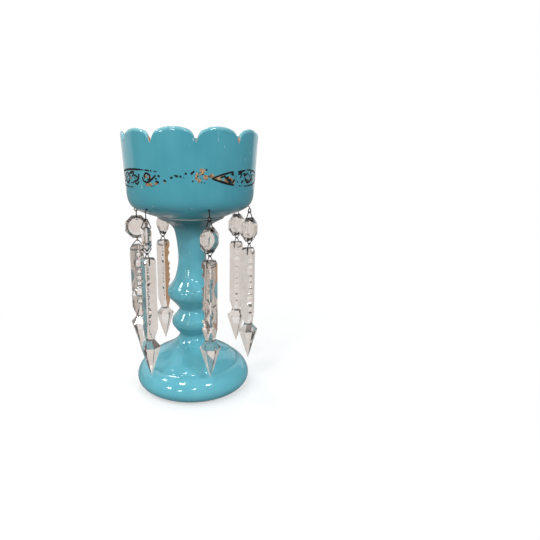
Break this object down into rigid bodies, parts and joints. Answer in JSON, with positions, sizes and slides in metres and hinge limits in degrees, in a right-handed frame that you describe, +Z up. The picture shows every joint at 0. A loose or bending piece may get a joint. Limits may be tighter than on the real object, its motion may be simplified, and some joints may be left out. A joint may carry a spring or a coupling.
{
  "type": "mantel lustre",
  "caption": "Opaline glass mantel lustre: a lobed bowl on a knopped hollow pedestal, hung all round with cut-glass jewels and notched spear prisms on wire hooks.",
  "frame": {"origin": "on the table under the middle of the foot", "axes": "+Z up along the pedestal's axis, -Y towards the viewer of the picture"},
  "size_m": [0.1533, 0.1495, 0.29],
  "materials": {
    "opaline": "glossy opaque turquoise glass",
    "crystal": "clear cut and polished lead glass",
    "wire": "dull dark iron wire",
    "cement": "matt plaster cement"
  },
  "bodies": {
    "stand": {"pedestal": "opaline", "cement_bed": "cement", "bowl": "opaline"},
    "hook_1": {"hook_pin_1": "wire"},
    "jewel_link_1": {"jewel_upper_wire_1": "wire", "jewel_1": "crystal", "jewel_lower_wire_1": "wire"},
    "prism_link_1": {"prism_wire_1": "wire", "prism_1": "crystal"},
    "hook_2": {"hook_pin_2": "wire"},
    "jewel_link_2": {"jewel_upper_wire_2": "wire", "jewel_2": "crystal", "jewel_lower_wire_2": "wire"},
    "prism_link_2": {"prism_wire_2": "wire", "prism_2": "crystal"},
    "hook_3": {"hook_pin_3": "wire"},
    "jewel_link_3": {"jewel_upper_wire_3": "wire", "jewel_3": "crystal", "jewel_lower_wire_3": "wire"},
    "prism_link_3": {"prism_wire_3": "wire", "prism_3": "crystal"},
    "hook_4": {"hook_pin_4": "wire"},
    "jewel_link_4": {"jewel_upper_wire_4": "wire", "jewel_4": "crystal", "jewel_lower_wire_4": "wire"},
    "prism_link_4": {"prism_wire_4": "wire", "prism_4": "crystal"},
    "hook_5": {"hook_pin_5": "wire"},
    "jewel_link_5": {"jewel_upper_wire_5": "wire", "jewel_5": "crystal", "jewel_lower_wire_5": "wire"},
    "prism_link_5": {"prism_wire_5": "wire", "prism_5": "crystal"},
    "hook_6": {"hook_pin_6": "wire"},
    "jewel_link_6": {"jewel_upper_wire_6": "wire", "jewel_6": "crystal", "jewel_lower_wire_6": "wire"},
    "prism_link_6": {"prism_wire_6": "wire", "prism_6": "crystal"},
    "hook_7": {"hook_pin_7": "wire"},
    "jewel_link_7": {"jewel_upper_wire_7": "wire", "jewel_7": "crystal", "jewel_lower_wire_7": "wire"},
    "prism_link_7": {"prism_wire_7": "wire", "prism_7": "crystal"}
  },
  "joints": [
    {"name": "hook_swivel_1", "type": "hinge", "parent": "stand", "child": "hook_1", "pos_m": [0.022, -0.06044, 0.21127], "axis": [0.2353, -0.6464, -0.7258], "range_deg": [-8, 8]},
    {"name": "jewel_swing_1", "type": "hinge", "parent": "hook_1", "child": "jewel_link_1", "pos_m": [0.02247, -0.06173, 0.20012], "axis": [-0.9397, -0.342, 0], "range_deg": [-4, 20]},
    {"name": "prism_sway_1", "type": "hinge", "parent": "jewel_link_1", "child": "prism_link_1", "pos_m": [0.02247, -0.06173, 0.16514], "axis": [0.342, -0.9397, 0], "range_deg": [-10, 10]},
    {"name": "hook_swivel_2", "type": "hinge", "parent": "stand", "child": "hook_2", "pos_m": [0.0637, -0.00895, 0.21127], "axis": [0.6812, -0.0957, -0.7258], "range_deg": [-8, 8]},
    {"name": "jewel_swing_2", "type": "hinge", "parent": "hook_2", "child": "jewel_link_2", "pos_m": [0.06506, -0.00914, 0.20392], "axis": [-0.1392, -0.9903, 0], "range_deg": [-4, 20]},
    {"name": "prism_sway_2", "type": "hinge", "parent": "jewel_link_2", "child": "prism_link_2", "pos_m": [0.06506, -0.00914, 0.16894], "axis": [0.9903, -0.1392, 0], "range_deg": [-10, 10]},
    {"name": "hook_swivel_3", "type": "hinge", "parent": "stand", "child": "hook_3", "pos_m": [0.05137, 0.03871, 0.21127], "axis": [0.5494, 0.414, -0.7258], "range_deg": [-8, 8]},
    {"name": "jewel_swing_3", "type": "hinge", "parent": "hook_3", "child": "jewel_link_3", "pos_m": [0.05247, 0.03954, 0.20302], "axis": [0.6018, -0.7986, 0], "range_deg": [-4, 20]},
    {"name": "prism_sway_3", "type": "hinge", "parent": "jewel_link_3", "child": "prism_link_3", "pos_m": [0.05247, 0.03954, 0.16804], "axis": [0.7986, 0.6018, 0], "range_deg": [-10, 10]},
    {"name": "hook_swivel_4", "type": "hinge", "parent": "stand", "child": "hook_4", "pos_m": [0.00672, 0.06397, 0.21127], "axis": [0.0719, 0.6841, -0.7258], "range_deg": [-8, 8]},
    {"name": "jewel_swing_4", "type": "hinge", "parent": "hook_4", "child": "jewel_link_4", "pos_m": [0.00687, 0.06534, 0.20202], "axis": [0.9945, -0.1045, 0], "range_deg": [-4, 20]},
    {"name": "prism_sway_4", "type": "hinge", "parent": "jewel_link_4", "child": "prism_link_4", "pos_m": [0.00687, 0.06534, 0.16704], "axis": [0.1045, 0.9945, 0], "range_deg": [-10, 10]},
    {"name": "hook_swivel_5", "type": "hinge", "parent": "stand", "child": "hook_5", "pos_m": [-0.03871, 0.05137, 0.21127], "axis": [-0.414, 0.5494, -0.7258], "range_deg": [-8, 8]},
    {"name": "jewel_swing_5", "type": "hinge", "parent": "hook_5", "child": "jewel_link_5", "pos_m": [-0.03954, 0.05247, 0.20302], "axis": [0.7986, 0.6018, 0], "range_deg": [-4, 20]},
    {"name": "prism_sway_5", "type": "hinge", "parent": "jewel_link_5", "child": "prism_link_5", "pos_m": [-0.03954, 0.05247, 0.16804], "axis": [-0.6018, 0.7986, 0], "range_deg": [-10, 10]},
    {"name": "hook_swivel_6", "type": "hinge", "parent": "stand", "child": "hook_6", "pos_m": [-0.06292, 0.01337, 0.21127], "axis": [-0.6729, 0.143, -0.7258], "range_deg": [-8, 8]},
    {"name": "jewel_swing_6", "type": "hinge", "parent": "hook_6", "child": "jewel_link_6", "pos_m": [-0.06426, 0.01366, 0.20392], "axis": [0.2079, 0.9781, 0], "range_deg": [-4, 20]},
    {"name": "prism_sway_6", "type": "hinge", "parent": "jewel_link_6", "child": "prism_link_6", "pos_m": [-0.06426, 0.01366, 0.16894], "axis": [-0.9781, 0.2079, 0], "range_deg": [-10, 10]},
    {"name": "hook_swivel_7", "type": "hinge", "parent": "stand", "child": "hook_7", "pos_m": [-0.04135, -0.04927, 0.21127], "axis": [-0.4422, -0.527, -0.7258], "range_deg": [-8, 8]},
    {"name": "jewel_swing_7", "type": "hinge", "parent": "hook_7", "child": "jewel_link_7", "pos_m": [-0.04223, -0.05033, 0.20052], "axis": [-0.766, 0.6428, 0], "range_deg": [-4, 20]},
    {"name": "prism_sway_7", "type": "hinge", "parent": "jewel_link_7", "child": "prism_link_7", "pos_m": [-0.04223, -0.05033, 0.16554], "axis": [-0.6428, -0.766, 0], "range_deg": [-10, 10]}
  ]
}
